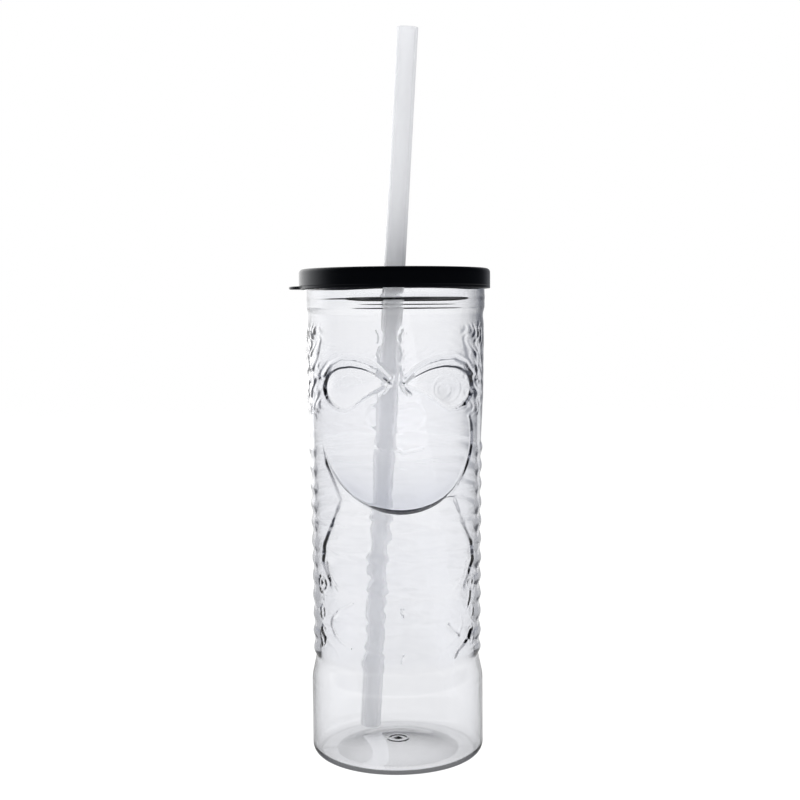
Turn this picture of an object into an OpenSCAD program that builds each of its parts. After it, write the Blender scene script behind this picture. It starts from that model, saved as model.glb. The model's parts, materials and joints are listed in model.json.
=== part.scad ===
// Tiki tumbler: a clear one-piece moulded cup, a push-on lid with a straw hole, and a straight straw.
// Millimetres. +Z is up, -Y is the carved front, and the origin is the centre of the resting face.

/* [Cup] */
// Height of the cup, from the resting face to the rim
cup_h = 190.5; // [188:0.5:194]
// Radius of the plain band near the base, the part that sits in a cup holder
base_r = 34; // [33.6:0.1:34.6]
// Height of the top of the plain band
base_h = 31; // [28:0.5:32]
// Radius of the plain neck under the lid
neck_r = 35.3; // [35:0.1:35.6]
// Thickness of the side wall
wall = 1.1; // [0.9:0.1:1.3]
// Thickness of the floor
floor_t = 1.4; // [1.2:0.1:1.6]
// How far the middle of the floor is pushed up
push_up = 3; // [2:0.5:4]

/* [Carving] */
// How far the carving stands out, as a multiple of its design depth
relief = 1; // [0.7:0.05:1.2]
// Number of ribs around the back, one above another
rib_count = 12; // [6:1:12]
// Distance from one rib to the next
rib_pitch = 7.2; // [6.8:0.1:7.2]

/* [Lid] */
// Outer radius of the lid's skirt
lid_r = 37.5; // [37.3:0.1:38.2]
// Height of the lid, top face to bottom edge of the skirt
lid_h = 7.8; // [7:0.1:9]
// Thickness of the lid's top plate
lid_t = 1.5; // [1.2:0.1:1.8]
// Length of the pull tab beyond the skirt
tab_l = 4; // [3:0.5:6]
// Radius of the straw hole
hole_r = 4.7; // [4.6:0.05:5.2]

/* [Straw] */
// Outer radius of the straw
straw_r = 4.2; // [4:0.05:4.25]
// Thickness of the straw's wall
straw_wall = 0.5; // [0.4:0.05:0.7]
// Length of the straw
straw_l = 282; // [230:1:290]

/* [Hidden] */
$fn = 96;

// Outer skin of the cup as [height, radius], before the carving is added
foot_corner = 4;
waist_z = 39;
carve_top = 172;
groove_z = 174;
neck_z = 176.5;
waist_r = 32.3;
groove_r = 34.4;
SKIN = [
    [foot_corner, base_r], [base_h, base_r], [waist_z, waist_r], [123, 33.4],
    [140, 34.4], [164, 34.9], [carve_top, 34.9], [groove_z, groove_r],
    [neck_z, neck_r], [cup_h, neck_r]
];
function skin(z) = lookup(z, SKIN);

// Foot: the flat resting ring lies between these radii
foot_in = 24;
foot_out = base_r - foot_corner;
dome_steps = 8;
function dome(r) = push_up * (1 - pow(r / foot_in, 2));
ring_r = 4.5;
nub_r = 0.9;

// Rim bead on the cup and snap bead inside the lid's skirt, which sits just below it at rest.
// The two pass with snap_clear between them, so the lid lifts off without bending.
rim_bead = 0.45;
rim_bead_r = 0.9;
rim_bead_z = cup_h - 1.6;
snap_bead = 0.35;
snap_bead_r = 0.8;
snap_bead_z = cup_h - 4.4;
snap_clear = 0.3;
skirt_in_r = neck_r + rim_bead + snap_clear + snap_bead;

// The straw leans from the floor at the back left, through the middle of the lid
straw_foot = [-11.5, 21, 3.5];
lid_top = cup_h + lid_t;
straw_hole = [0, 0, cup_h + lid_t / 2];
lean = straw_hole - straw_foot;
lean_angle = acos(lean[2] / norm(lean));
lean_turn = atan2(lean[1], lean[0]);

// Carved pads stand proud of the skin by these depths and are sunk into it by pad_root
pad_root = 0.5;
cheek_depth = 0.9 * relief;
nose_depth = 1.5 * relief;
brow_depth = 0.9 * relief;
eye_depth = 0.5 * relief;
pupil_depth = 0.8 * relief;
limb_depth = 0.7 * relief;

// ---- 2D helpers -------------------------------------------------------------------------

// A straight stroke with round ends
module stroke(a, b, r) {
    d = b - a;
    translate(a) circle(r);
    translate(b) circle(r);
    translate(a) rotate(atan2(d[1], d[0])) translate([0, -r]) square([norm(d), 2 * r]);
}

// Both halves of a shape that is drawn on the right
module both_sides() {
    children();
    mirror([1, 0]) children();
}

// ---- Carving ----------------------------------------------------------------------------

// Thin sleeve around the whole carved height, from pad_root inside the skin to depth outside it
module sleeve(depth) {
    heights = [waist_z, 123, 140, 164, carve_top];
    outside = [for (z = heights) [skin(z) + depth, z]];
    inside = [for (i = [len(heights) - 1:-1:0]) [skin(heights[i]) - pad_root, heights[i]]];
    rotate_extrude() polygon(concat(outside, inside));
}

// A flat outline, in X and Z, pressed onto the front of the cup
module pad(depth) {
    intersection() {
        sleeve(depth);
        rotate([90, 0, 0]) linear_extrude(60) children();
    }
}

// Teardrop eye: round at the temple, drawn to a point beside the nose
module eye_outline(r) {
    eye_x = 19.5;
    eye_z = 147;
    point_x = 4.5;
    reach = eye_x - point_x;
    side = acos(r / reach);
    translate([eye_x, eye_z]) {
        circle(r);
        polygon([[-reach, 1], r * [-cos(side), sin(side)], r * [-cos(side), -sin(side)]]);
    }
}

// Brow: an arch over the eye
module brow_outline() {
    arch_r = 18.6;
    arch_w = 2.6;
    translate([19.5, 139]) intersection() {
        difference() {
            circle(arch_r);
            circle(arch_r - arch_w);
        }
        polygon([[0, 0], [-26, 22], [-26, 40], [22, 40]]);
    }
}

// Nose: narrow bridge between the eyes, two round wings below
module nose_outline() {
    polygon([[-2, 152], [2, 152], [8, 141], [8, 134], [-8, 134], [-8, 141]]);
    both_sides() translate([6, 137.5]) circle(4.2);
    translate([0, 135.5]) circle(4.5);
}

// Cheeks and jaw: one broad U that takes up the middle of the cup
module jaw_outline() {
    jaw_r = 27.5;
    jaw_z = 128;
    intersection() {
        translate([0.5, jaw_z]) circle(jaw_r);
        translate([-30, 90]) square([60, 45]);
    }
}

// Lips: a slightly wavy line
module lips_outline() {
    both_sides() stroke([0, 123.4], [5, 122.6], 0.5);
    both_sides() stroke([5, 122.6], [9.5, 124.2], 0.5);
}

// Belly: a broad oval between the arms, cut off above the legs
module belly_outline() {
    intersection() {
        translate([0, 86]) circle(28.3);
        translate([-30, 67]) square([60, 40]);
    }
}

// Leg and foot of one side
module leg_outline() {
    translate([13.5, 57.5]) circle(10.2);
    translate([2, 53]) square([11, 11]);
    stroke([6, 47], [17, 47], 4);
}

// Forehead crest: three small leaf points one above another
module crest_outline() {
    leaf = 3.4;
    for (z = [157, 162.5, 168])
        translate([0, z]) rotate(45) square(leaf, center = true);
}

// Ribs across the back and sides, each a rounded swelling of the skin
module ribs() {
    first_rib = 42.6;
    rib_h = 0.8 * relief;
    half = rib_pitch / 2;
    arc_r = (half * half + rib_h * rib_h) / (2 * rib_h);
    front_gap = 122;
    for (i = [0:rib_count - 1]) {
        z = first_rib + i * rib_pitch;
        rotate_extrude(angle = 360 - front_gap, start = front_gap / 2 - 90) intersection() {
            translate([skin(z) + rib_h - arc_r, z]) circle(arc_r);
            translate([skin(z) - pad_root, z - half]) square([pad_root + rib_h + 1, rib_pitch]);
        }
    }
}

// Hair: upright locks beside the face and around the back of the head
module hair() {
    lock_r = 1.7;
    lock_low = 131;
    lock_high = 166;
    sink = 0.7;
    for (side = [-1, 1], i = [0:9]) {
        turn = side * (62 + i * 12.4);
        low = lock_low + 3 * (i % 2);
        rotate(turn - 90) translate([skin(low) - sink, 0, 0]) {
            translate([0, 0, low]) cylinder(r = lock_r, h = lock_high - low);
            translate([0, 0, low]) sphere(lock_r);
            translate([0, 0, lock_high]) sphere(lock_r);
        }
    }
}

module carving() {
    pad(cheek_depth) jaw_outline();
    pad(nose_depth) nose_outline();
    pad(brow_depth) both_sides() brow_outline();
    pad(eye_depth) both_sides() eye_outline(7.6);
    pad(pupil_depth) both_sides() translate([18, 146]) circle(4.6);
    pad(cheek_depth + 0.4 * relief) lips_outline();
    pad(limb_depth) belly_outline();
    pad(limb_depth) both_sides() leg_outline();
    pad(limb_depth) crest_outline();
    ribs();
    hair();
}

// ---- Cup --------------------------------------------------------------------------------

// Right half of the cup without its carving, as a closed outline
module cup_outline() {
    corner = [for (a = [270:15:345]) [
        foot_out + foot_corner * cos(a),
        foot_corner + foot_corner * sin(a)
    ]];
    under = [for (i = [0:dome_steps]) [foot_in * i / dome_steps, dome(foot_in * i / dome_steps)]];
    outside = [for (p = SKIN) [p[1], p[0]]];
    inner_corner = foot_corner - wall;
    inside = [for (i = [len(SKIN) - 1:-1:1]) [SKIN[i][1] - wall, SKIN[i][0]]];
    low = [for (a = [0:-15:-90]) [
        foot_out + inner_corner * cos(a),
        floor_t + inner_corner + inner_corner * sin(a)
    ]];
    over = [for (i = [dome_steps:-1:0]) [
        foot_in * i / dome_steps,
        dome(foot_in * i / dome_steps) + floor_t
    ]];
    polygon(concat(under, corner, outside, inside, low, over));
}

module tumbler_body() {
    color([0.93, 0.95, 0.97, 0.35]) difference() {
        union() {
            rotate_extrude() cup_outline();
            carving();
            rotate_extrude() translate([neck_r + rim_bead - rim_bead_r, rim_bead_z]) circle(rim_bead_r);
            translate([0, 0, push_up + floor_t - 0.4]) cylinder(r = nub_r, h = 1);
        }
        // The bead must not stand into the mouth
        translate([0, 0, rim_bead_z - 2]) cylinder(r = neck_r - wall, h = 5);
        // Moulding ring around the nub, on the floor
        translate([0, 0, push_up + floor_t - 0.25]) difference() {
            cylinder(r = ring_r, h = 2);
            translate([0, 0, -1]) cylinder(r = ring_r - 0.8, h = 4);
        }
    }
}

// ---- Lid --------------------------------------------------------------------------------

// Right half of the lid, closed across the middle
module lid_outline() {
    low = lid_top - lid_h;
    shoulder = 1.6;
    translate([0, low]) square([lid_r, lid_h - shoulder]);
    translate([0, lid_top - shoulder]) square([lid_r - shoulder, shoulder]);
    translate([lid_r - shoulder, lid_top - shoulder]) circle(shoulder);
}

// Hollow under the top plate, narrowed by the snap bead
module lid_hollow() {
    low = lid_top - lid_h;
    difference() {
        translate([0, low - 1]) square([skirt_in_r, lid_h - lid_t + 1]);
        translate([skirt_in_r - snap_bead + snap_bead_r, snap_bead_z]) circle(snap_bead_r);
    }
}

// Thin tongue with a round end, level with the skirt's lower edge
module pull_tab() {
    tab_r = 9;
    tab_t = 1.2;
    overlap = 0.8;
    translate([0, 0, lid_top - lid_h]) linear_extrude(tab_t) intersection() {
        translate([-lid_r - tab_l + tab_r, 0]) circle(tab_r);
        translate([-lid_r - tab_l, -tab_r]) square([tab_l + overlap, 2 * tab_r]);
    }
}

module lid() {
    color([0.05, 0.05, 0.06]) difference() {
        union() {
            rotate_extrude() lid_outline();
            pull_tab();
        }
        rotate_extrude() lid_hollow();
        translate([0, 0, cup_h - 1]) cylinder(r = hole_r, h = lid_t + 2);
    }
}

// ---- Straw ------------------------------------------------------------------------------

module straw() {
    color([0.85, 0.86, 0.88, 0.7]) translate(straw_foot)
        rotate([0, lean_angle, lean_turn]) difference() {
            cylinder(r = straw_r, h = straw_l);
            translate([0, 0, -1]) cylinder(r = straw_r - straw_wall, h = straw_l + 2);
        }
}

tumbler_body();
lid();
straw();
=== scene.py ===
"""Looks of the tiki tumbler: a clear moulded cup, a black push-on lid and a frosted straw.

Lengths in this script are millimetres unless a name ends in _m; mesh data is scaled to metres
once, when an object is made. Angles round the cup are measured from its carved front (-Y)
towards +X.
"""
import json
import math

import bpy
import numpy as np
from mathutils import Matrix, Vector


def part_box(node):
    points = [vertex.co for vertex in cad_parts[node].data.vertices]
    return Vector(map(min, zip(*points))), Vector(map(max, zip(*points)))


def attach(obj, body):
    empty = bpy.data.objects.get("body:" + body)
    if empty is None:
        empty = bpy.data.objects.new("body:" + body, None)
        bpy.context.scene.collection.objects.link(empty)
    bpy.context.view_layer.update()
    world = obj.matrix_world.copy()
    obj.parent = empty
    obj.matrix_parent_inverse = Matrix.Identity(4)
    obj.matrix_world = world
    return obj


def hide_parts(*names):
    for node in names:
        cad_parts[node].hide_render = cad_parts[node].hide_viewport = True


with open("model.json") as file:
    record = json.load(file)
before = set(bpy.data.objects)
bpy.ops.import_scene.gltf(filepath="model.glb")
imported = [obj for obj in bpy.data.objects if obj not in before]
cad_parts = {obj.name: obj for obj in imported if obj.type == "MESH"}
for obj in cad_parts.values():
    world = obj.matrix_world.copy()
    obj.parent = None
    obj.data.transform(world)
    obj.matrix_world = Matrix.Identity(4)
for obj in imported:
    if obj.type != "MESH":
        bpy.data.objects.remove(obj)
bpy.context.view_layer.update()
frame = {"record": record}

MM = 0.001


def box_mm(node):
    """Lowest and highest corner of a CAD node, in millimetres."""
    low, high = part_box(node)
    return Vector(low) / MM, Vector(high) / MM


# ---- Sizes, from the frame -----------------------------------------------------------------

CUP_H = box_mm("tumbler_body")[1].z
LID_LOW, LID_HIGH = box_mm("lid")
LID_R = LID_HIGH.x
LID_TOP_T = LID_HIGH.z - CUP_H
TAB_REACH = -LID_LOW.x

MOUNTS = {m["name"]: m for m in frame["record"]["mounts"]}
BASE_R = MOUNTS["cup_holder_band"]["dims"]["r_mm"]
STRAW_IN_R = MOUNTS["straw_bore"]["dims"]["r_mm"]
STRAW_L = MOUNTS["straw_bore"]["dims"]["length_mm"]
STRAW_MID = Vector(MOUNTS["straw_bore"]["pos_m"]) / MM
STRAW_AXIS = Vector(MOUNTS["straw_bore"]["axis"]).normalized()

# Sizes that the frame doesn't give. They are the CAD's, but for the small round of the lip and
# the neck's fine rings, which only this model has.
WALL = 1.1
FLOOR_T = 1.4
PUSH_UP = 3.0
FOOT_IN = 24.0
CORNER = 4.0
FOOT_OUT = BASE_R - CORNER
BAND_TOP = 31.0
WAIST_Z = 39.0
CARVE_TOP = 172.0
NECK_Z = 176.5
NECK_R = 35.3
RIM_BEAD = 0.45
RIM_BEAD_Z = CUP_H - 1.6
LIP_R = 0.4
RING_Z = (176.9, 178.3, 180.8)
STRAW_WALL = 0.5

# The round jaw, which is the largest shape on the front
JAW_X, JAW_Z, JAW_R = 0.7, 127.8, 26.6

# The cup's outer radius by height, before the carving
SKIN_Z = [CORNER, BAND_TOP, WAIST_Z, 112, 120, 128, 136, 144, 164, CARVE_TOP, 174, NECK_Z, CUP_H]
SKIN_R = [BASE_R, BASE_R, 32.3, 33.25, 33.5, 33.85, 34.25, 34.6, 34.9, 34.9, 34.4, NECK_R, NECK_R]


# ---- Shape tools ---------------------------------------------------------------------------

def skin(z):
    """Outer radius of the plain cup at a height, with its corners eased."""
    reach = 1.4
    taps = np.linspace(-reach, reach, 7)
    return sum(np.interp(np.asarray(z) + t, SKIN_Z, SKIN_R) for t in taps) / len(taps)


def inside(distance, ease):
    """1 well inside an edge and 0 well outside it, easing over a width of 2 * ease."""
    t = np.clip(0.5 - distance / (2 * ease), 0, 1)
    return t * t * (3 - 2 * t)


def ramp(value, start, end):
    """0 at start and 1 at end, eased."""
    t = np.clip((value - start) / (end - start), 0, 1)
    return t * t * (3 - 2 * t)


def disc(x, z, cx, cz, r):
    """Signed distance to a circle."""
    return np.hypot(x - cx, z - cz) - r


def stroke(x, z, points):
    """Distance to a line through points."""
    best = np.full(np.broadcast(x, z).shape, 1e9)
    for (ax, az), (bx, bz) in zip(points, points[1:]):
        dx, dz = bx - ax, bz - az
        t = np.clip(((x - ax) * dx + (z - az) * dz) / (dx * dx + dz * dz), 0, 1)
        best = np.minimum(best, np.hypot(x - ax - t * dx, z - az - t * dz))
    return best


def blob(a, b, k):
    """Smooth union of two distances."""
    h = np.clip(0.5 + (b - a) / (2 * k), 0, 1)
    return b + (a - b) * h - k * h * (1 - h)


def drop(x, z, cx, cz, r, tip_x, tip_z, tip_r):
    """Signed distance to a teardrop: a circle drawn out to a small round tip."""
    length = math.hypot(tip_x - cx, tip_z - cz)
    ux, uz = (tip_x - cx) / length, (tip_z - cz) / length
    along = (x - cx) * ux + (z - cz) * uz
    across = np.abs((x - cx) * uz - (z - cz) * ux)
    lean = (r - tip_r) / length
    rise = math.sqrt(1 - lean * lean)
    k = along * rise - across * lean
    side = across * rise + along * lean - r
    tip = np.hypot(along - length, across) - tip_r
    return np.where(k < 0, np.hypot(along, across) - r, np.where(k > length * rise, tip, side))


# ---- Carving -------------------------------------------------------------------------------
# Each function gives the height of one feature above the skin at (x, z), where x is the
# distance to the right of the cup's axis, seen from the front. soft widens every edge.

def jaw_edge(x, z, r):
    """Signed distance to the round jaw, which leans a little to the right at its foot."""
    lean = 1.3 * (1 - ramp(z, 100, 120))
    return np.hypot(x - JAW_X - lean, z - JAW_Z) - r


def chin(x, z, soft):
    """Round jaw, which swells out and overhangs the chest most at the chin and towards -X."""
    height = 3.3 * np.exp(-(np.maximum(z - 101, 0) / 10.5) ** 2)
    fuller = 1 + 0.6 * ramp(-x, 8, 16)
    return inside(jaw_edge(x, z, JAW_R), 1.5 + soft) * height * fuller


def torso(x, z):
    """Signed distance to the sunken chest and belly, and the cut which borders the right jaw."""
    half = np.interp(z, [58, 66, 71, 80, 87, 94, 105, 112, 118, 126],
                     [20, 24, 25.3, 28.4, 27.8, 25, 21.2, 24, 26.5, 27.5])
    body = np.maximum((np.abs(x - 0.5) - half) * 0.9, 67 - 0.0045 * x * x - z)
    border = np.maximum(jaw_edge(x, z, JAW_R + 1.3), np.abs(z - 120) - 16)
    return np.where(x < 0, body, np.minimum(np.maximum(body, z - 106), border))


def plane(x, z, soft):
    """The raised front that everything is cut into, with the torso cut out under the jaw."""
    across = 1 - ramp(np.abs(x), 30.2, 33.4)
    up = ramp(z, 38, 45) * (1 - ramp(z, 152, 168))
    cut = np.maximum(torso(x, z), -jaw_edge(x, z, JAW_R + 0.3))
    ease = 0.42 + soft + 1.6 * (1 - ramp(z, 66, 72))
    left = (0.65 - 0.3 * (1 - ramp(z, 78, 84))) * (1 - ramp(z, 118, 127))
    right = 0.4 + 0.6 * ramp(z, 104, 108) * (1 - ramp(z, 128, 137))
    swell = 0.7 * np.clip(1 - (x / 27) ** 2 - ((z - 80) / 17) ** 2, 0, 1)
    raised = 1 - np.where(x < 0, left, right) * inside(cut + 0.35, ease)
    return raised * across * up + swell * inside(cut, 3)


def nose(x, z, soft):
    """Low wide nose with two round wings, and a short cut at each side of its bridge."""
    wings = disc(np.abs(x), z, 5.8, 136.6, 4.6)
    ball = disc(x, z, 0, 135.6, 4.8)
    edge = blob(wings, ball, 2.0)
    cut = stroke(np.abs(x), z, [(2.5, 149), (3.4, 146.6), (5, 145)]) - 0.25
    depth = np.where(x > 0, 1.3, 0.5)
    return inside(edge, 0.7 + soft) * 0.16 - inside(cut - 0.1, 0.35 + soft) * depth


def eyes(x, z, soft):
    """Almond sockets under a thin ridge of brow, each with a low eyeball and a ringed iris."""
    side = np.where(x < 0.8, (0.8 - x) * 1.05, (x - 0.8) * 1.015)
    brow = stroke(side, z, [(3.4, 151), (7, 154.3), (11.4, 156.7), (16, 158), (21.3, 158.3),
                            (25.5, 156), (28.2, 151.7)]) - 0.3
    lift = 1.6 * np.sin(np.clip((side - 3) / 17, 0, 1) * math.pi)
    socket = drop(side, z - lift, 20.2, 146.8, 7.9, 2.6, 148.6, 0.3)
    swell = 0.7 * np.clip(-socket / 6, 0, 1) ** 0.8
    iris = disc(side, z, 18.2, 146.6, 5.0)
    ring = 0.2 * inside(np.abs(iris) - 0.1, 0.45 + soft)
    pupil = 0.15 * inside(np.abs(disc(side, z, 17.0, 146.2, 2.5)) - 0.1, 0.45 + soft)
    above = np.abs(brow - 1.2) - 0.15
    ridge = 0.6 * inside(brow, 0.45 + soft) - 0.35 * inside(above, 0.4 + soft)
    return ridge - 0.9 * inside(socket, 0.35 + soft) + swell - ring - pupil


def lips(x, z, soft):
    """Thin wavy mouth."""
    line = stroke(x, z, [(-7, 125.4), (-3, 124.0), (1.2, 124.3), (2.6, 123.2), (9.6, 124.6)])
    return -0.5 * inside(line - 0.15, 0.4 + soft)


def legs(x, z, soft):
    """Bent legs, parted in the middle, with their outlines cut in."""
    side = np.abs(x)
    haunch = stroke(side, z, [(16.6, 65.6), (21, 62.6), (23.7, 58.9), (24.2, 55.6), (22.8, 52.4),
                              (20.3, 49.9), (17.2, 48.2)]) - 0.2
    crease = stroke(side, z, [(25.9, 79.8), (24.6, 74), (21.6, 69.8)]) - 0.15
    hip = stroke(side, z, [(27.2, 68.5), (27, 65), (26.1, 62)]) - 0.15
    calf = stroke(side, z, [(27.6, 52.6), (26.6, 50.2), (24.9, 48.4), (22.4, 46.2), (21.2, 43.2)])
    heel = stroke(side, z, [(18.5, 56.9), (20.4, 54), (22.9, 51.7)])
    foot = stroke(side, z, [(4, 52.2), (12, 52.6), (19, 51.4)])
    gap = stroke(side, z, [(1.6, 64), (0.9, 60), (0.8, 50), (1.4, 44)])
    ends = np.minimum(stroke(x, z, [(2.0, 64), (2.8, 61.5)]), stroke(x, z, [(2.8, 46.5), (2, 44)]))
    left, right = np.where(x < 0, 1, 0.3), np.where(x < 0, 0.15, 1)
    cuts = inside(np.minimum(haunch, crease), 0.4 + soft) * 0.7 * left
    cuts = cuts + inside(np.minimum(calf - 0.2, heel - 0.2), 0.4 + soft) * 1.1 * right
    cuts = cuts + inside(hip, 0.4 + soft) * 0.5 * right + inside(ends - 0.3, 0.4 + soft) * 1.5
    return -cuts - inside(np.minimum(gap, foot + 0.2), 0.8 + soft) * 0.15


def crest(x, z, soft):
    """Leafy crest down the middle of the forehead, cut in as short bent strokes on each side."""
    side = np.abs(x + 2.1)
    edge = np.full(np.broadcast(x, z).shape, 1e9)
    for points in ([(4.6, 164.2), (4.5, 166.4), (5.6, 168.6)],
                   [(4.4, 157.2), (5.1, 159.6), (4.4, 162)],
                   [(5.2, 152.2), (4.5, 154.8)]):
        edge = np.minimum(edge, stroke(side, z, points) - 0.15)
    return -inside(edge, 0.35 + soft) * 0.6


def wobble(x, z):
    """Unevenness of the hand-cut mould: a few crossed waves, strongest below the chin."""
    fold = np.abs(np.sin(z / 3.4 + 0.8 * np.sin(z / 1.9) + x / 11))
    waves = 0.6 * np.sin(x / 2.9 + 2.8 * fold + 0.8 * np.sin(z / 1.1))
    waves += 0.4 * np.sin(z / 2.9 + 1.9 * np.sin(x / 4.7 - 1))
    chips = np.sin(x / 1.1 + 2 * np.sin(z / 2.2)) * np.sin(z / 0.9 + 2 * np.sin(x / 3.1))
    chips = chips * 0.03 * ramp(z, 154, 158) * (1 - ramp(z, 168, 171))
    return waves * (0.04 + 0.1 * (1 - ramp(z, 96, 104))) + chips


def face(x, z, soft):
    """Everything on the front of the cup."""
    return plane(x, z, soft) + chin(x, z, soft) + nose(x, z, soft) + eyes(x, z, soft) \
        + lips(x, z, soft) + legs(x, z, soft) + crest(x, z, soft) + wobble(x, z) / (1 + soft)


def ribs(turn, z):
    """Rounded ribs down both sides, one above another, and shallower across the back."""
    first, pitch, count, depth = 42.6, 7.2, 12, 0.7
    last = first + (count - 1) * pitch
    swell = 0.5 + 0.5 * np.cos((z - first) / pitch * 2 * math.pi)
    span = ramp(z, first - pitch / 2, first - 1) * (1 - ramp(z, last + 1, last + pitch / 2))
    degrees = np.degrees(np.abs(turn))
    around = ramp(degrees, 60, 84) * (1 - 0.65 * ramp(degrees, 106, 145))
    return swell * span * around * depth


def hair(turn, z, soft):
    """Tangled locks beside the face, deeper at -X, and much shallower round the back."""
    degrees = np.degrees(np.abs(turn)) + 3 * np.sign(turn)
    wave = 3.1 * np.sin(z / 2.3) + 2.3 * np.sin(z / 1.15 + degrees / 6)
    lock = np.sin((degrees + wave) / 1.05)
    knot = np.sin(z / 1.2 + degrees / 3.1 + 1.2 * np.sin(z / 4)) * np.sin(z / 3.7 - degrees / 5)
    span = ramp(z, 133, 139) * (1 - ramp(z, 168, 172))
    around = 0.5 * ramp(degrees, 46, 52) + 0.5 * ramp(degrees, 56, 62)
    around *= 1 - 0.5 * ramp(degrees, 68, 78) - 0.4 * ramp(degrees, 80, 95)
    depth = np.where(turn < 0, 0.42, 0.3)
    return inside(0.2 - lock * 0.4 - knot * 0.7, 0.5) * span * around * depth / (1 + soft)


def ornaments(turn, z, soft):
    """Small ring, oval and curl cut in beside the belly, one above another, deeper on the left."""
    degrees = np.degrees(np.abs(turn))
    x = (degrees - 58) * 0.58
    ring = np.abs(disc(x, z, 0, 71, 2.9)) - 0.15
    oval = np.abs(np.hypot(x / 0.7, z - 60) - 2.4) - 0.15
    dot = disc(x, z, 0.3, 71.2, 0.5)
    curl = stroke(x, z, [(-1.8, 54), (0.6, 54.6), (1.5, 52.8), (0, 51.4), (-1.6, 49.8),
                         (-0.8, 47.6), (1.2, 47.2), (1.9, 48.8)]) - 0.2
    edge = np.minimum(np.minimum(ring, oval), np.minimum(dot, curl))
    return -inside(edge, 0.4 + soft) * np.where(turn < 0, 0.7, 0.2)


def rings(turn, z):
    """Fine rings moulded round the neck; the top one is fullest at the front."""
    front = np.clip(np.cos((turn - 0.18) * 2.2), 0, 1) * (np.abs(turn) < 1)
    heights = (0.08 + 0.16 * front, 0.04 + 0.16 * front, 0.12 + 1.0 * front)
    widths = (0.3, 0.3, 0.8)
    return sum(h * np.exp(-((z - at) / w) ** 2) for at, h, w in zip(RING_Z, heights, widths))


def carving(turn, z, soft=0.0):
    """Height of the whole carving above the skin, in every direction round the cup."""
    x = skin(z) * np.sin(turn)
    height = np.where(np.cos(turn) > 0.15, face(x, z, soft), 0)
    height += ribs(turn, z) + hair(turn, z, soft) + ornaments(turn, z, soft)
    height *= ramp(z, WAIST_Z - 2, WAIST_Z + 2) * (1 - ramp(z, CARVE_TOP - 2, CARVE_TOP + 1))
    return height + rings(turn, z) / (1 + soft)


def hollow(turn, z):
    """Height of the inner wall above its plain shape.

    Round the front it follows the carving only softly, and round the back it follows it fully.
    """
    soft = carving(turn, z, 1.6)
    follow = np.where(soft > 0, 0.08 * soft, soft)
    front = np.minimum(follow, carving(turn, z) + 0.4)
    back = ramp(np.degrees(np.abs(turn)), 80, 100)
    return front * (1 - back) + carving(turn, z) * back


# ---- Mesh tools ----------------------------------------------------------------------------

def arc(cx, cz, r, start, end, steps):
    """Points [radius, height] on an arc, angles in degrees from the outward direction."""
    a = np.radians(np.linspace(start, end, steps))
    return np.stack([cx + r * np.cos(a), cz + r * np.sin(a)], axis=1)


def line(a, b, steps):
    """Points from a to b without b itself."""
    t = np.linspace(0, 1, steps, endpoint=False)[:, None]
    return np.array(a) * (1 - t) + np.array(b) * t


def new_object(name, points, faces):
    """A smooth-shaded mesh object from points in millimetres."""
    mesh = bpy.data.meshes.new(name)
    mesh.from_pydata([tuple(p) for p in points * MM], [], faces)
    mesh.validate()
    mesh.shade_smooth()
    made = bpy.data.objects.new(name, mesh)
    bpy.context.scene.collection.objects.link(made)
    return made


def grid_faces(rows, columns, closed_rows=False):
    """Quads of a grid that is closed round its columns."""
    faces = []
    for i in range(rows if closed_rows else rows - 1):
        low, high = i * columns, ((i + 1) % rows) * columns
        for j in range(columns):
            k = (j + 1) % columns
            faces.append((low + j, low + k, high + k, high + j))
    return faces


def lathe(name, profile, turns):
    """Closed ring surface: profile is a list of [radius, height] points round its section."""
    radius = profile[:, 0][:, None]
    x = radius * np.sin(turns)[None, :]
    y = -radius * np.cos(turns)[None, :]
    z = np.repeat(profile[:, 1][:, None], len(turns), axis=1)
    points = np.stack([x, y, z], axis=2).reshape(-1, 3)
    return new_object(name, points, grid_faces(len(profile), len(turns), closed_rows=True))


# ---- Cup -----------------------------------------------------------------------------------

def cup_turns(count):
    """Angles round the cup, closer together across the carved front."""
    fine = np.linspace(-math.pi, math.pi, 4001)
    density = 1 - 0.84 * ramp(np.abs(fine), math.radians(80), math.radians(100))
    total = np.concatenate([[0], np.cumsum((density[1:] + density[:-1]) / 2)])
    return np.interp(np.linspace(0, total[-1], count, endpoint=False), total, fine)


def dome(r):
    """Height of the pushed-up underside at a radius, eased into the foot ring."""
    t = np.clip(np.asarray(r) / FOOT_IN, 0, 1)
    return PUSH_UP * (1 - t * t) ** 1.7


def cup_outside():
    """Profile from the middle of the underside out and up to the rim."""
    under_r = np.linspace(0.6, FOOT_IN, 14, endpoint=False)
    under = np.stack([under_r, dome(under_r)], axis=1)
    foot = line((FOOT_IN, 0), (FOOT_OUT, 0), 2)
    corner = arc(FOOT_OUT, CORNER, CORNER, -90, 0, 8)
    band_z = np.linspace(CORNER, BAND_TOP - 1.5, 5)[1:]
    ease_z = np.linspace(BAND_TOP - 1, WAIST_Z, 9)
    carve_z = np.concatenate([np.arange(WAIST_Z + 0.5, 97, 0.62), np.arange(97, 106, 0.35),
                              np.arange(106, CARVE_TOP, 0.5)])
    neck_z = np.concatenate([np.linspace(CARVE_TOP, NECK_Z - 0.3, 7),
                             np.linspace(NECK_Z, RING_Z[1] + 0.7, 12),
                             RING_Z[2] + np.linspace(-1.2, 1.2, 9), [183.5, CUP_H - 2.8]])
    side_z = np.concatenate([band_z, ease_z, carve_z, neck_z])
    side = np.stack([skin(side_z), side_z], axis=1)
    bead = arc(NECK_R - RIM_BEAD, RIM_BEAD_Z, 2 * RIM_BEAD, -55, 50, 6)
    lip = arc(NECK_R - 0.45, CUP_H - LIP_R, LIP_R, 20, 90, 3)
    return np.concatenate([under, foot, corner, side, bead, lip])


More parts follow.
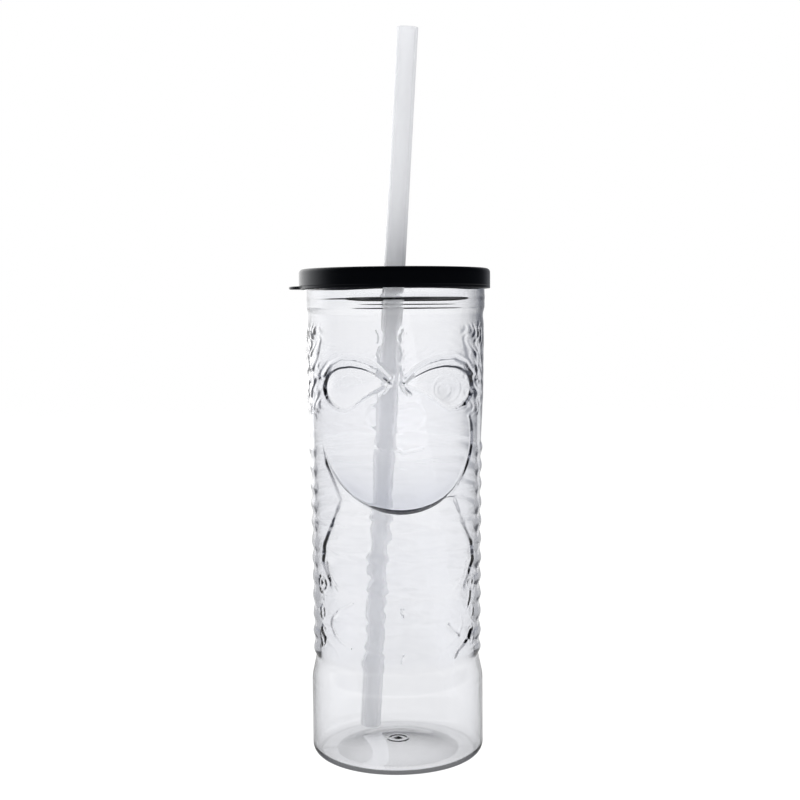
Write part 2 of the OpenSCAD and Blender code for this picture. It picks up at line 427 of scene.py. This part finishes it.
def cup_inside():
    """Profile from the rim down the inner wall and across the floor to its moulding nub."""
    in_r = NECK_R - WALL
    lip = arc(in_r + LIP_R, CUP_H - LIP_R, LIP_R, 90, 180, 3)
    neck_z = np.concatenate([np.linspace(186, NECK_Z + 2, 6),
                             np.linspace(NECK_Z + 1, CARVE_TOP, 8)])
    carve_z = np.arange(CARVE_TOP - 1.4, WAIST_Z, -1.4)
    ease_z = np.linspace(WAIST_Z, BAND_TOP - 1, 10)
    band_z = np.linspace(BAND_TOP - 3, FLOOR_T + CORNER + 0.5, 5)
    side_z = np.concatenate([neck_z, carve_z, ease_z, band_z])
    side = np.stack([skin(side_z) - WALL, side_z], axis=1)
    r = CORNER - WALL
    corner = arc(BASE_R - WALL - r, FLOOR_T + r, r, 0, -90, 9)
    floor_r = np.concatenate([np.linspace(FOOT_OUT - 1.5, 7, 12), np.linspace(6.4, 0.3, 16)])
    ring_r, ring_w, ring_h = 3.9, 0.5, 0.12
    nub_r, nub_h = 0.9, 0.5
    floor_z = FLOOR_T + dome(floor_r) + ring_h * np.exp(-((floor_r - ring_r) / ring_w) ** 2)
    floor_z += nub_h * np.exp(-(floor_r / nub_r) ** 2)
    floor = np.stack([floor_r, floor_z], axis=1)
    return np.concatenate([lip, side, corner, floor])


def shell(profile, turns, height):
    """Points of one side of the wall: the profile turned round the axis, with its carving."""
    z, turn = np.meshgrid(profile[:, 1], turns, indexing="ij")
    radius = np.repeat(profile[:, 0][:, None], len(turns), axis=1)
    wall = (radius > FOOT_OUT) & (z > BAND_TOP - 1)
    radius += np.where(wall, height(turn, z), 0)
    return np.stack([radius * np.sin(turn), -radius * np.cos(turn), z], axis=2).reshape(-1, 3)


def make_cup():
    """The cup's whole wall as one closed surface, carved outside and, softer, inside.

    The inside has half as many columns as the outside, and the two meet at the rim.
    """
    turns = cup_turns(240)
    half = turns[::2]
    outer, inner = cup_outside(), cup_inside()
    columns, few = len(turns), len(half)
    outside = shell(outer, turns, carving)
    inside_wall = shell(inner, half, hollow)
    start = len(outside)
    middles = [[0, 0, dome(0)], [0, 0, inner[-1, 1]]]
    points = np.concatenate([outside, inside_wall, middles])
    faces = grid_faces(len(outer), columns)
    faces += [tuple(start + i for i in f) for f in grid_faces(len(inner), few)]
    rim = start - columns
    for j in range(few):
        a, b, c = rim + 2 * j, rim + 2 * j + 1, rim + (2 * j + 2) % columns
        d, e = start + j, start + (j + 1) % few
        faces += [(a, b, d), (b, e, d), (b, c, e)]
    under_middle, floor_middle = len(points) - 2, len(points) - 1
    last = start + (len(inner) - 1) * few
    faces += [(under_middle, (j + 1) % columns, j) for j in range(columns)]
    faces += [(floor_middle, last + j, last + (j + 1) % few) for j in range(few)]
    return new_object("cup_wall", points, faces)


# ---- Lid -----------------------------------------------------------------------------------

def make_lid():
    """The lid as one closed surface: top plate, straw hole, skirt, inner bead and pull tab."""
    top, low = LID_HIGH.z, LID_LOW.z
    ceiling = top - LID_TOP_T
    hole_r, shoulder, edge, round_r = 4.7, 1.6, 0.3, 0.35
    in_r, bead_r, bead_size = 36.4, 36.05, 0.8
    bead_z = CUP_H - 4.4
    tab_t = 1.2
    hole = np.concatenate([arc(hole_r + edge, top - edge, edge, 180, 90, 5)[:-1],
                           line((hole_r + edge, top), (LID_R - shoulder, top), 14)])
    outer = np.concatenate([arc(LID_R - shoulder, top - shoulder, shoulder, 90, 0, 9),
                            line((LID_R, top - shoulder - 0.6), (LID_R, low + tab_t + 0.25), 5)])
    tab = np.array([(LID_R, low + tab_t + 0.2), (LID_R, low + tab_t), (LID_R, low + tab_t),
                    (LID_R, low + tab_t - 0.2), (LID_R, low + 0.25), (LID_R - 0.06, low + 0.06)])
    under = np.array([(LID_R - 0.3, low), (in_r + 0.3, low), (in_r + 0.05, low + 0.1),
                      (in_r, low + 0.5)])
    bead = arc(bead_r + bead_size, bead_z, bead_size, 236, 124, 7)
    recess = np.concatenate([line((in_r, bead_z + 1), (in_r, ceiling - round_r), 3),
                             arc(in_r - round_r, ceiling - round_r, round_r, 0, 90, 4),
                             line((in_r - 1, ceiling), (hole_r + edge, ceiling), 8),
                             arc(hole_r + edge, ceiling + edge, edge, 270, 180, 5)])
    profile = np.concatenate([hole, outer, tab, under, bead, recess])
    turns = np.linspace(-math.pi, math.pi, 256, endpoint=False)
    made = lathe("lid_cover", profile, turns)
    shape_tab(made.data, len(hole) + len(outer), len(turns), turns)
    return made


def shape_tab(mesh, first_row, columns, turns):
    """Pulls the tab's rows of the lid outwards into a thin tongue with a round end, at -X."""
    tab_r, half_turn = 9.0, math.radians(16)
    off = np.abs(turns + math.pi / 2)
    across = (TAB_REACH - tab_r) * np.sin(np.minimum(off, math.pi / 2))
    reach = (TAB_REACH - tab_r) * np.cos(off) + np.sqrt(np.maximum(tab_r ** 2 - across ** 2, 0))
    extra = np.where(off < half_turn, np.maximum(reach - LID_R, 0), 0)
    share = {2: 0.85, 3: 1.0, 4: 1.0, 5: 0.9}
    for row, part in share.items():
        for j in range(columns):
            v = mesh.vertices[(first_row + row) * columns + j]
            scale = 1 + extra[j] * part / LID_R
            v.co.x *= scale
            v.co.y *= scale
    mesh.update()


# ---- Straw ---------------------------------------------------------------------------------

def make_straw():
    """A straight tube, cut square, with its cut edges just eased."""
    ease, half = 0.12, STRAW_L / 2
    outer, inner = STRAW_IN_R + STRAW_WALL, STRAW_IN_R
    profile = np.concatenate([
        arc(outer - ease, half - ease, ease, 90, 0, 4),
        line((outer, half - 1), (outer, -half + 1), 60),
        arc(outer - ease, -half + ease, ease, 0, -90, 4),
        arc(inner + ease, -half + ease, ease, 270, 180, 4),
        line((inner, -half + 1), (inner, half - 1), 60),
        arc(inner + ease, half - ease, ease, 180, 90, 4),
    ])
    made = lathe("straw_tube", profile, np.linspace(-math.pi, math.pi, 64, endpoint=False))
    lean = STRAW_AXIS.to_track_quat("Z", "Y").to_matrix().to_4x4()
    made.data.transform(Matrix.Translation(STRAW_MID * MM) @ lean)
    return made


# ---- Materials -----------------------------------------------------------------------------

def new_material(name):
    """A material with only a Principled shader, and its node tree."""
    made = bpy.data.materials.new(name)
    made.use_nodes = True
    tree = made.node_tree
    return made, tree, tree.nodes["Principled BSDF"]


def add(tree, kind, **values):
    """A new node with its sockets or properties set."""
    node = tree.nodes.new(kind)
    for key, value in values.items():
        if key in node.inputs:
            node.inputs[key].default_value = value
        else:
            setattr(node, key, value)
    return node


def connect(tree, socket, value):
    """Feeds a socket from another socket, or sets it to a plain value."""
    if isinstance(value, bpy.types.NodeSocket):
        tree.links.new(value, socket)
    else:
        socket.default_value = value


def maths(tree, operation, *values):
    """The result of a Math node; each value is a socket or a number."""
    node = add(tree, "ShaderNodeMath", operation=operation)
    for socket, value in zip(node.inputs, values):
        connect(tree, socket, value)
    return node.outputs["Value"]


def vector_maths(tree, operation, *values, result="Value"):
    """The result of a Vector Math node; each value is a socket or a vector."""
    node = add(tree, "ShaderNodeVectorMath", operation=operation)
    for socket, value in zip(node.inputs, values):
        connect(tree, socket, value)
    return node.outputs[result]


def noise(tree, scale, detail=3.0, stretch=(1, 1, 1)):
    """Noise in the object's own coordinates; scale counts per metre."""
    place = add(tree, "ShaderNodeTexCoord")
    mapping = add(tree, "ShaderNodeMapping", Scale=stretch)
    texture = add(tree, "ShaderNodeTexNoise", Scale=scale, Detail=detail)
    connect(tree, mapping.inputs["Vector"], place.outputs["Object"])
    connect(tree, texture.inputs["Vector"], mapping.outputs["Vector"])
    return texture.outputs["Fac"]


def spread(tree, source, low, high):
    """A factor from 0 to 1, remapped to low to high."""
    node = add(tree, "ShaderNodeMapRange")
    for name, value in (("Value", source), ("To Min", low), ("To Max", high)):
        connect(tree, node.inputs[name], value)
    return node.outputs["Result"]


def bump(tree, shader, source, strength, distance):
    """Raises the surface's shading by source."""
    node = add(tree, "ShaderNodeBump", Strength=strength, Distance=distance)
    connect(tree, node.inputs["Height"], source)
    connect(tree, shader.inputs["Normal"], node.outputs["Normal"])


def mottle(tree, shader, source, low, high):
    """Colours the shader from one colour to another by source."""
    node = add(tree, "ShaderNodeValToRGB")
    node.color_ramp.elements[0].color = low
    node.color_ramp.elements[1].color = high
    connect(tree, node.inputs["Fac"], source)
    connect(tree, shader.inputs["Base Color"], node.outputs["Color"])


def clear_plastic():
    """Clear moulded PET, a little wavy from the mould and blue-grey through its thickness."""
    made, tree, shader = new_material("clear_plastic")
    shader.inputs["Base Color"].default_value = (1, 1, 1, 1)
    shader.inputs["Transmission Weight"].default_value = 1.0
    shader.inputs["IOR"].default_value = 1.57
    connect(tree, shader.inputs["Roughness"], spread(tree, noise(tree, 40), 0.0, 0.03))
    bump(tree, shader, noise(tree, 90, 2.0, (1, 1, 0.5)), 0.2, 0.0003)
    tint = add(tree, "ShaderNodeVolumeAbsorption", Color=(0.42, 0.46, 0.6, 1), Density=85.0)
    connect(tree, tree.nodes["Material Output"].inputs["Volume"], tint.outputs["Volume"])
    return made


def black_plastic():
    """Black satin moulding with a fine grain."""
    made, tree, shader = new_material("black_plastic")
    mottle(tree, shader, noise(tree, 300, 4.0),
           (0.0003, 0.0003, 0.0005, 1), (0.0008, 0.0009, 0.0013, 1))
    shader.inputs["Specular IOR Level"].default_value = 0.15
    shader.inputs["Specular Tint"].default_value = (0.76, 0.84, 1.0, 1)
    connect(tree, shader.inputs["Roughness"], spread(tree, noise(tree, 120), 0.26, 0.36))
    bump(tree, shader, noise(tree, 2600, 2.0), 0.15, 0.0001)
    return made


def frosted_plastic():
    """Milky polypropylene with faint lines drawn along it."""
    made, tree, shader = new_material("frosted_plastic")
    along = (1, 1, 0.03)
    mottle(tree, shader, noise(tree, 500, 3.0, along),
           (0.88, 0.885, 0.9, 1), (0.94, 0.945, 0.955, 1))
    shader.inputs["Transmission Weight"].default_value = 0.25
    shader.inputs["Specular IOR Level"].default_value = 0.2
    shader.inputs["IOR"].default_value = 1.49
    connect(tree, shader.inputs["Roughness"], spread(tree, noise(tree, 200), 0.42, 0.55))
    bump(tree, shader, noise(tree, 900, 2.0, along), 0.2, 0.0002)
    return made


# ---- Set -----------------------------------------------------------------------------------

def make_floor():
    """A wide pale floor, which fades into the white surround.

    Seen in a reflection it is grey under the cup, which is a painted contact shadow, and dark in a
    round patch in front of it, and grows pale with distance from that patch; this painted shade
    draws the front of the foot dark.
    """
    size = 6.0
    corners = np.array([(-size, -size, 0), (size, -size, 0), (size, size, 0), (-size, size, 0)])
    made = new_object("floor", corners / MM, [(0, 1, 2, 3)])
    floor, tree, shader = new_material("pale_floor")
    shader.inputs["Base Color"].default_value = (0.02, 0.02, 0.02, 1)
    shader.inputs["Roughness"].default_value = 0.7
    shader.inputs["Specular IOR Level"].default_value = 0.1
    shader.inputs["Emission Color"].default_value = (1, 1, 1, 1)
    place = add(tree, "ShaderNodeTexCoord").outputs["Object"]
    mirrors = add(tree, "ShaderNodeLightPath").outputs["Glossy Depth"]
    reach = vector_maths(tree, "LENGTH", place)
    to_patch = vector_maths(tree, "ADD", place, (0, 0.12, 0), result="Vector")
    from_patch = vector_maths(tree, "LENGTH", to_patch)
    # painted shade: in reflections a dark patch in front of the cup, paler with distance, which
    # draws the front of the foot as a dark line
    around = map_range(tree, from_patch, 0.09, 0.16, 0.0, 0.55)
    # painted contact shadow: in reflections the floor is grey under the cup
    painted_shadow_under_cup = map_range(tree, reach, 0.034, 0.04, 0.2, 0.0)
    mirrored = maths(tree, "MAXIMUM", around, painted_shadow_under_cup)
    # seen directly the floor glows evenly white; seen in a reflection it shows the painted shade
    # and painted contact shadow above
    direct = map_range(tree, mirrors, 0.0, 1.0, 1.05, 0.0)
    shine = choose(tree, over_half(tree, mirrors), direct, mirrored)
    connect(tree, shader.inputs["Emission Strength"], shine)
    connect(tree, shader.inputs["Alpha"], map_range(tree, reach, 0.3, 2.0, 1.0, 0.0))
    made.data.materials.append(floor)


def make_world():
    """Soft white surround, which looks different to different kinds of ray.

    To the camera it is plain white. Seen straight through the plastic it is bright round the
    horizon and dark overhead. Seen in a reflection inside the plastic it is almost black, so
    that every steep edge of the carving is drawn as a dark line. Seen in a reflection off a
    surface it is dark, with a bright patch at the back left and a dimmer one behind. What
    lights the matt pieces is even, and stronger once it has come through the plastic. Dim light
    is a little bluer than bright light.
    """
    world = bpy.data.worlds.new("studio")
    bpy.context.scene.world = world
    world.use_nodes = True
    tree = world.node_tree
    place = add(tree, "ShaderNodeTexCoord").outputs["Generated"]
    path = add(tree, "ShaderNodeLightPath").outputs
    split = add(tree, "ShaderNodeSeparateXYZ")
    connect(tree, split.inputs["Vector"], place)
    sky = map_range(tree, split.outputs["Z"], 0.1, 0.27, 1.17, 0.01)
    through = maths(tree, "MULTIPLY", sky, make_windows(tree, split))
    back_left = glow(tree, place, (-0.66, 0.75, 0.0), 0.55, 2.6)
    behind = glow(tree, place, (0.17, 0.98, 0.0), 0.75, 0.5)
    outer = maths(tree, "MAXIMUM", back_left, behind)
    height = maths(tree, "ABSOLUTE", split.outputs["Z"])
    inner = map_range(tree, height, 0.05, 0.25, 0.05, 0.0)
    mirrored = choose(tree, over_half(tree, path["Transmission Depth"]), outer, inner)
    clear = choose(tree, over_half(tree, path["Glossy Depth"]), through, mirrored)
    matt = map_range(tree, path["Transmission Depth"], 0.0, 1.0, 0.62, 2.4)
    unseen = choose(tree, over_half(tree, path["Diffuse Depth"]), clear, matt)
    strength = choose(tree, path["Is Camera Ray"], unseen, 1.0)
    colour = add(tree, "ShaderNodeCombineColor")
    connect(tree, colour.inputs["Red"], strength)
    connect(tree, colour.inputs["Green"], lifted(tree, strength, 0.97))
    connect(tree, colour.inputs["Blue"], lifted(tree, strength, 0.88))
    back = tree.nodes["Background"]
    connect(tree, back.inputs["Color"], colour.outputs["Color"])
    back.inputs["Strength"].default_value = 1.0


def lifted(tree, source, power):
    """A value raised to a power below one where it is dim, and left alone where it is bright."""
    return maths(tree, "MAXIMUM", source, maths(tree, "POWER", source, power))


def map_range(tree, source, start, end, low, high):
    """A value eased from low at start to high at end."""
    node = add(tree, "ShaderNodeMapRange", interpolation_type="SMOOTHSTEP")
    for name, value in (("Value", source), ("From Min", start), ("From Max", end),
                        ("To Min", low), ("To Max", high)):
        connect(tree, node.inputs[name], value)
    return node.outputs["Result"]


def glow(tree, place, direction, start, level):
    """A soft bright patch of sky round a direction, on a dark one."""
    facing = vector_maths(tree, "DOT_PRODUCT", place, direction)
    return map_range(tree, facing, start, 1.0, 0.05, level)


def over_half(tree, source):
    """1 where a count is at least one."""
    return maths(tree, "GREATER_THAN", source, 0.5)


def make_windows(tree, split):
    """Eight bright panels round the horizon, 45 degrees apart, with greyer gaps between them."""
    turn = maths(tree, "ARCTAN2", split.outputs["X"], split.outputs["Y"])
    phase = maths(tree, "ADD", maths(tree, "MULTIPLY", turn, 8.0), 0.6)
    return map_range(tree, maths(tree, "COSINE", phase), -0.9, 0.6, 0.5, 1.0)


def choose(tree, switch, when_off, when_on):
    """One of two values, by a switch of 0 or 1."""
    node = add(tree, "ShaderNodeMix", data_type="FLOAT")
    for name, value in (("Factor", switch), ("A", when_off), ("B", when_on)):
        connect(tree, node.inputs[name], value)
    return node.outputs["Result"]


def make_softbox(name, place, size, power):
    """A square soft light aimed at the middle of the cup, which the plastic doesn't mirror."""
    light = bpy.data.lights.new(name, "AREA")
    light.shape = "SQUARE"
    light.size = size
    light.energy = power
    made = bpy.data.objects.new(name, light)
    made.location = place
    aim = Vector((0, 0, CUP_H * MM / 2)) - Vector(place)
    made.rotation_euler = aim.to_track_quat("-Z", "Y").to_euler()
    made.visible_glossy = False
    made.visible_transmission = False
    bpy.context.scene.collection.objects.link(made)


def make_camera():
    """The photograph's view: level with the cup's upper part, half a metre away."""
    distance, height, pitch, yaw, roll = 0.509, 0.1756, -3.95, -0.204, -0.44
    data = bpy.data.cameras.new("camera")
    data.sensor_width = 36
    data.lens = 58.05
    made = bpy.data.objects.new("camera", data)
    turn = Matrix.Rotation(math.radians(yaw), 4, "Z") \
        @ Matrix.Rotation(math.radians(90 + pitch), 4, "X") \
        @ Matrix.Rotation(math.radians(roll), 4, "Z")
    made.matrix_world = Matrix.Translation((0, -distance, height)) @ turn
    bpy.context.scene.collection.objects.link(made)
    bpy.context.scene.camera = made


# ---- Assembly ------------------------------------------------------------------------------

def dress(piece, material, node, body):
    """Gives a finished piece its material and its body, and hides its CAD node."""
    piece.data.materials.append(material)
    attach(piece, body)
    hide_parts(node)


make_camera()
make_world()
make_floor()
make_softbox("key_light", (-0.9, -0.9, 0.9), 0.8, 5)
make_softbox("fill_light", (1.1, -0.5, 0.6), 0.8, 2)

dress(make_cup(), clear_plastic(), "tumbler_body", "tumbler")
dress(make_lid(), black_plastic(), "lid", "lid")
dress(make_straw(), frosted_plastic(), "straw", "straw")

bpy.context.scene.view_settings.view_transform = "Standard"
